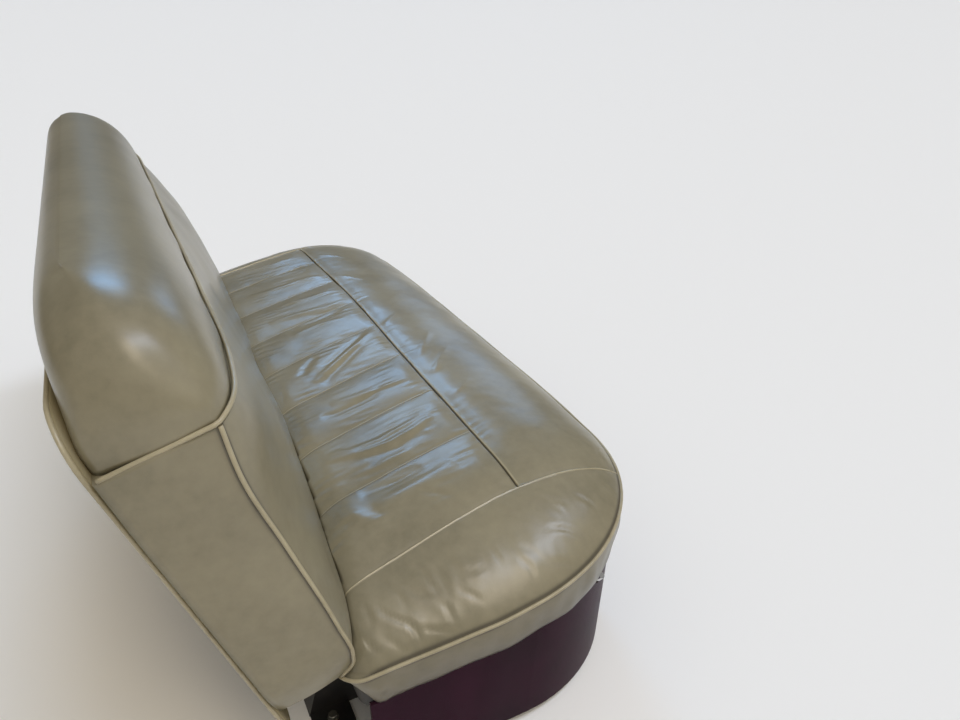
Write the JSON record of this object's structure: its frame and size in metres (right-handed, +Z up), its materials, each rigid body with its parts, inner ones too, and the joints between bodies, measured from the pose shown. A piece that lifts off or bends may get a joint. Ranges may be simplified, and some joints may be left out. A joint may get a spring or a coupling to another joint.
{
  "type": "front bench seat of a 1950s car",
  "caption": "Full-width leather front bench seat of a 1950s saloon car, with raked backrest and curved plinth, sliding fore and aft on two floor tracks.",
  "frame": {"origin": "on the floor, at the centre of the four floor bolts", "axes": "+Z up, -Y towards the front of the car, +X towards the car's left side"},
  "size_m": [1.496, 0.7521, 0.7412],
  "materials": {
    "tan_leather": "worn semi-gloss tan leather with lighter piping",
    "maroon_vinyl": "maroon leathercloth over board, soft sheen",
    "black_enamel": "black enamel on pressed steel, worn at the edges",
    "greased_steel": "bare steel, rubbed bright where it slides",
    "spring_wire": "oil-tempered spring wire, dark",
    "chromed_steel": "chrome plate"
  },
  "bodies": {
    "floor_tracks": {"left_lower_track": "greased_steel", "left_rack": "greased_steel", "left_riser": "black_enamel", "right_lower_track": "greased_steel", "right_rack": "greased_steel", "right_riser": "black_enamel"},
    "seat": {"adjuster_knob": "chromed_steel", "adjuster_lever": "chromed_steel", "backrest_pad": "tan_leather", "backrest_rear_panel": "tan_leather", "backrest_top_roll": "tan_leather", "centre_back_bracket": "greased_steel", "cushion": "tan_leather", "cushion_springs": "spring_wire", "frame_centre_rail": "black_enamel", "frame_front_rail": "black_enamel", "frame_left_front_corner": "black_enamel", "frame_left_side_rail": "black_enamel", "frame_left_track_rail": "greased_steel", "frame_rear_rail": "black_enamel", "frame_right_front_corner": "black_enamel", "frame_right_side_rail": "black_enamel", "frame_right_track_rail": "greased_steel", "left_back_bracket": "greased_steel", "left_front_seat_bracket": "greased_steel", "left_pawl": "greased_steel", "left_rear_seat_bracket": "greased_steel", "left_slider": "greased_steel", "lock_rod": "greased_steel", "plinth": "maroon_vinyl", "plinth_clips": "black_enamel", "right_back_bracket": "greased_steel", "right_front_seat_bracket": "greased_steel", "right_pawl": "greased_steel", "right_rear_seat_bracket": "greased_steel", "right_slider": "greased_steel"}
  },
  "joints": [
    {"name": "seat_slide", "type": "slide", "parent": "floor_tracks", "child": "seat", "axis": [0, -0.9962, 0.0872], "range_m": [-0.056, 0.056]}
  ]
}
